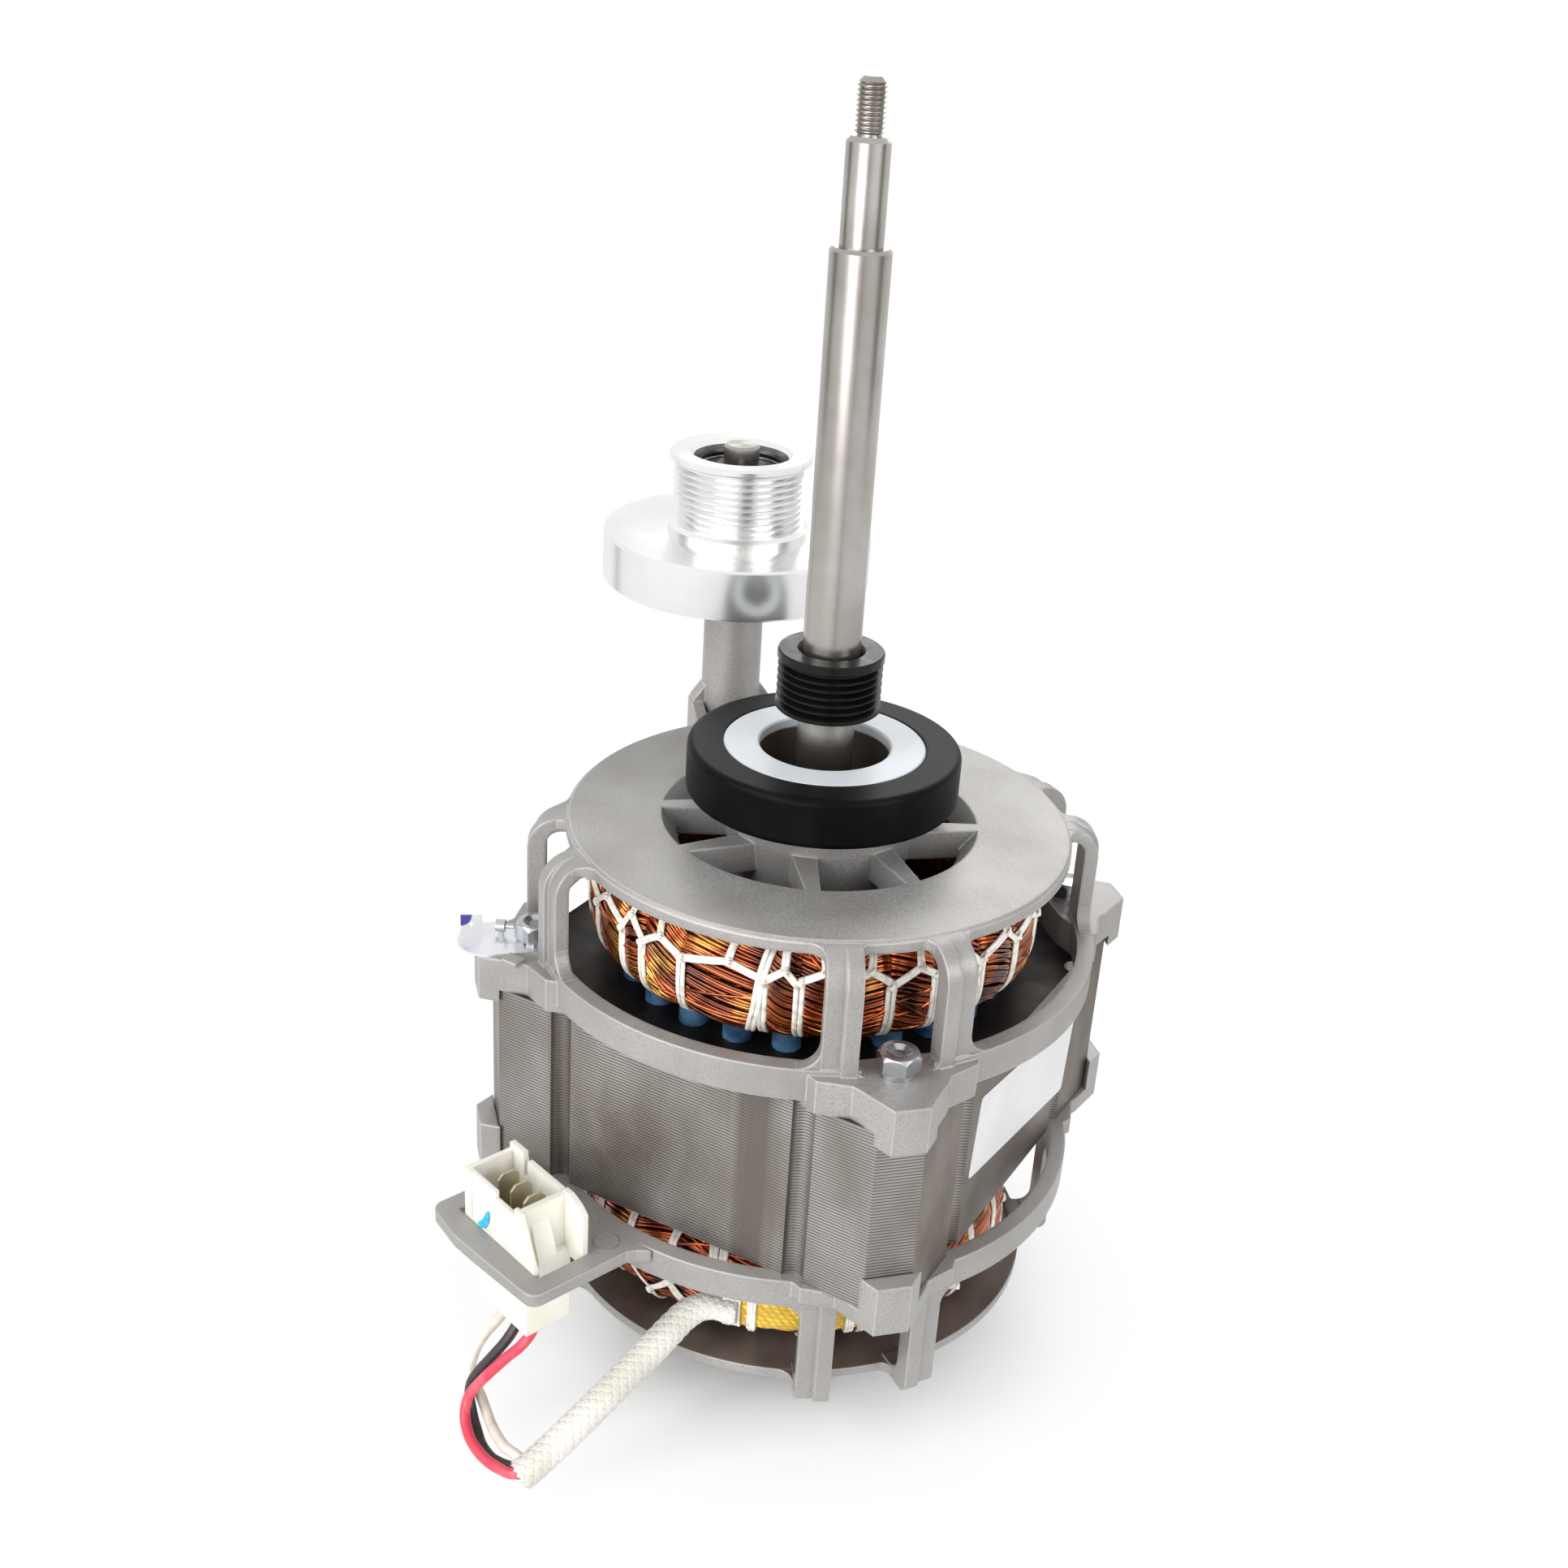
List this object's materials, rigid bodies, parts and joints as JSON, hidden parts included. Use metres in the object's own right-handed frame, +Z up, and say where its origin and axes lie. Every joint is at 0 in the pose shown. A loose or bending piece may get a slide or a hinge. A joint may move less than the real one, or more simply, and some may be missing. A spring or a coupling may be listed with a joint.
{
  "type": "tumble dryer motor",
  "caption": "Induction motor between two open cast end bells with resilient mounting rings, a long fan shaft and a stepped belt pulley on a side post.",
  "frame": {"origin": "on the shaft's axis, in the plane of the lower mounting ring's outer face", "axes": "+Z up along the shaft towards the fan seat, +X out of the side of the stack that carries the label, -Y out of the side with the connector"},
  "size_m": [0.2143, 0.2583, 0.3872],
  "materials": {
    "cast": "die cast, lightly sandy",
    "stack": "fine stacked steel sheets",
    "liner": "satin film",
    "wedge": "satin",
    "copper": "varnished copper wire",
    "lacing": "flat woven cord",
    "yellow_sleeve": "woven sleeve",
    "protector_steel": "plain",
    "zinc": "bright zinc plate",
    "nylon": "satin",
    "rubber": "matt",
    "bearing_steel": "ground",
    "seal": "matt",
    "spring_steel": "dark oiled steel",
    "connector": "satin",
    "contact": "tinned",
    "braid": "braided sleeve",
    "white_lead": "silicone",
    "black_lead": "silicone",
    "red_lead": "silicone",
    "label": "bare, satin",
    "pin_steel": "turned",
    "shaft_steel": "turned",
    "rotor_iron": "ground",
    "cage": "cast",
    "pulley_black": "gloss",
    "idler_metal": "polished"
  },
  "bodies": {
    "stator": {"top_end_bell": "cast", "bottom_end_bell": "cast", "stator_core": "stack", "slot_liners": "liner", "slot_wedges": "wedge", "stator_winding": "copper", "top_winding_turns": "copper", "bottom_winding_turns": "copper", "top_lacing": "lacing", "bottom_lacing": "lacing", "protector_sleeve": "yellow_sleeve", "thermal_protector": "protector_steel", "clamp_bolts": "zinc", "bolt_washers": "zinc", "bolt_nuts": "zinc", "lock_washer": "zinc", "earth_tab": "zinc", "tab_pin": "zinc", "upper_nylon_ring": "nylon", "upper_rubber_ring": "rubber", "lower_nylon_ring": "nylon", "lower_rubber_ring": "rubber", "upper_bearing_outer": "bearing_steel", "lower_bearing_outer": "bearing_steel", "bearing_seals": "seal", "bearing_balls": "bearing_steel", "wave_washer": "spring_steel", "connector_housing": "connector", "connector_contacts": "contact", "lead_sleeve": "braid", "lead_white": "white_lead", "lead_black": "black_lead", "lead_red": "red_lead", "rating_label": "label", "idler_pin": "pin_steel", "idler_spacer": "pin_steel", "idler_circlip": "spring_steel", "idler_bearing_inner": "bearing_steel"},
    "rotor": {"shaft": "shaft_steel", "rotor_core": "rotor_iron", "rotor_cage": "cage", "drive_pulley": "pulley_black", "upper_bearing_inner": "bearing_steel", "lower_bearing_inner": "bearing_steel"},
    "idler": {"idler_pulley": "idler_metal", "idler_bearing_outer": "bearing_steel", "idler_bearing_seals": "seal", "idler_balls": "bearing_steel", "idler_snap_ring": "spring_steel"}
  },
  "joints": [
    {"name": "rotor_spin", "type": "hinge", "parent": "stator", "child": "rotor", "pos_m": [0, 0, 0], "axis": [0, 0, 1], "continuous": true},
    {"name": "idler_spin", "type": "hinge", "parent": "stator", "child": "idler", "pos_m": [-0.08132, 0.08132, 0], "axis": [0, 0, 1], "continuous": true}
  ]
}
